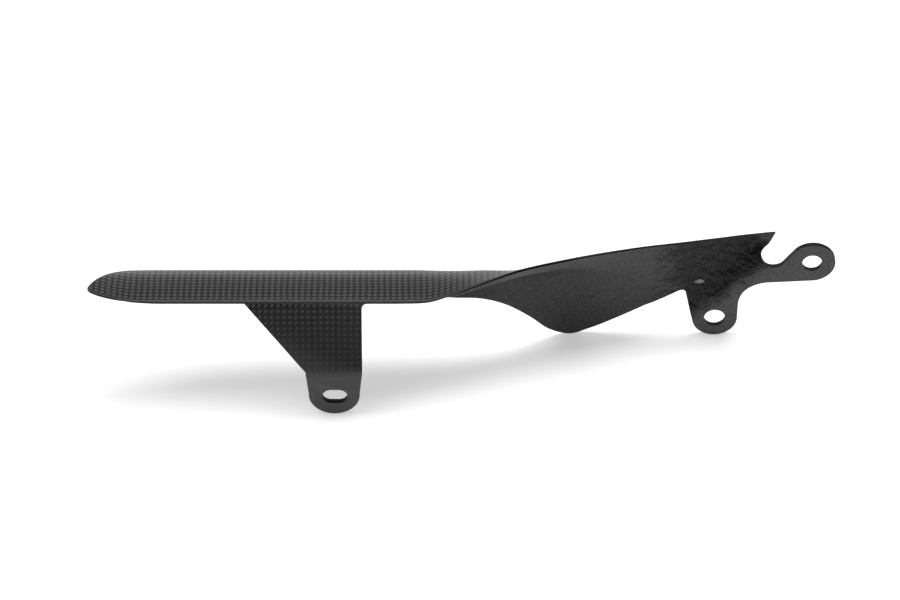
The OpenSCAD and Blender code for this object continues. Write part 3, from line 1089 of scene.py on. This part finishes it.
# The studio, in metres
CAMERA_PLACE = (-0.1721, -1.2839, 1.1315)
CAMERA_LENS = 144
CAMERA_SENSOR = 36
FLOOR_SIZE = 8
FLOOR_BACK = 1.5  # how far behind the part the floor's middle lies
FLOOR_GLOW = 0.46  # keeps the floor white for the camera and in reflections
FRONT_GLOW = (-0.3, -0.8, 0.0, 0.3)  # what the camera sees more, near the front
FAR_GLOW = (0.8, 3.5, 0.0, 0.54)  # and near the horizon
AIR_LIGHT = 0.14
AIR_SEEN = 0.86  # what the camera sees more
LAMPS = (("top_softbox", (2.6, 0.6), (-0.05, 0.2, 1.3), 24),
         ("rear_softbox", (3.0, 0.7), (0, 1.6, 0.42), 12))


class GUARD_OT_stage(bpy.types.Operator):
    """Set up the floor, the soft lights and the camera"""
    bl_idname = "guard.stage"
    bl_label = "Studio"

    def lamp(self, name, size, place, target, power):
        bpy.ops.object.select_all(action="DESELECT")
        bpy.ops.object.light_add(type="AREA", location=place)
        obj = bpy.context.object
        obj.name = name
        obj.data.shape = "RECTANGLE"
        obj.data.size, obj.data.size_y = size
        obj.data.energy = power
        obj.rotation_euler = (Vector(target) - Vector(place)).to_track_quat("-Z", "Y").to_euler()

    def floor(self, mid, finish):
        bpy.ops.object.select_all(action="DESELECT")
        bpy.ops.mesh.primitive_plane_add(size=FLOOR_SIZE,
                                         location=(mid.x, FLOOR_BACK, CAD_BOX[0][2]))
        floor = bpy.context.object
        floor.name = "floor"
        settle(floor)
        mat, t, sh = principled("studio_white")
        sh.inputs["Base Color"].default_value = (*finish.floor, 1)
        sh.inputs["Roughness"].default_value = 0.9
        sh.inputs["Specular IOR Level"].default_value = 0.0
        sh.inputs["Emission Color"].default_value = (1, 1, 1, 1)
        rays = t.node("ShaderNodeLightPath").outputs
        seen = t.math("MAXIMUM", rays["Is Camera Ray"],
                      t.math("MAXIMUM", rays["Is Glossy Ray"], rays["Is Transmission Ray"]))
        y = t.split(t.place())[1]
        more = t.math("ADD", t.ramp(y, *FRONT_GLOW), t.ramp(y, *FAR_GLOW))
        t.link(t.math("MULTIPLY_ADD", rays["Is Camera Ray"], more, t.times(seen, FLOOR_GLOW)),
               sh.inputs["Emission Strength"])
        floor.data.materials.append(mat)

    def air(self, scene):
        world = bpy.data.worlds.new("studio_air")
        scene.world = world
        world.use_nodes = True
        t = Tree(world.node_tree)
        rays = t.node("ShaderNodeLightPath").outputs
        back = world.node_tree.nodes["Background"]
        back.inputs["Color"].default_value = (1, 1, 1, 1)
        t.link(t.math("MULTIPLY_ADD", rays["Is Camera Ray"], AIR_SEEN, AIR_LIGHT),
               back.inputs["Strength"])

    def execute(self, context):
        scene = context.scene
        mid = (Vector(CAD_BOX[0]) + Vector(CAD_BOX[1])) / 2
        self.floor(mid, scene.guard_finish)
        self.air(scene)
        for name, size, (x, y, z), power in LAMPS:
            self.lamp(name, size, (mid.x + x, y, z), mid, power)

        bpy.ops.object.camera_add(location=CAMERA_PLACE,
                                  rotation=(math.pi / 2 - CAMERA_TILT, 0, 0))
        cam = bpy.context.object
        cam.name = "camera"
        cam.data.lens = CAMERA_LENS
        cam.data.sensor_width = CAMERA_SENSOR
        scene.camera = cam
        scene.view_settings.view_transform = "Standard"
        return {"FINISHED"}


class GUARD_PT_panel(bpy.types.Panel):
    """Chain guard panel"""
    bl_idname = "GUARD_PT_panel"
    bl_label = "Chain guard"
    bl_space_type = "VIEW_3D"
    bl_region_type = "UI"
    bl_category = "Chain guard"

    def draw(self, context):
        col = self.layout.column()
        for group in (context.scene.guard_sizes, context.scene.guard_finish):
            for key in group.bl_rna.properties.keys():
                if key not in ("rna_type", "name"):
                    col.prop(group, key)
        for op in OPERATORS:
            col.operator(op.bl_idname)


OPERATORS = (GUARD_OT_finishes, GUARD_OT_moulding, GUARD_OT_rear_tab, GUARD_OT_stage)
CLASSES = (GuardSizes, GuardFinish, *OPERATORS, GUARD_PT_panel)


def register():
    for c in CLASSES:
        bpy.utils.register_class(c)
    bpy.types.Scene.guard_sizes = PointerProperty(type=GuardSizes)
    bpy.types.Scene.guard_finish = PointerProperty(type=GuardFinish)


def unregister():
    del bpy.types.Scene.guard_finish
    del bpy.types.Scene.guard_sizes
    for c in reversed(CLASSES):
        bpy.utils.unregister_class(c)


def main():
    register()
    bpy.ops.guard.finishes()
    bpy.ops.guard.moulding()
    bpy.ops.guard.rear_tab()
    bpy.ops.guard.stage()


if __name__ == "__main__":
    main()
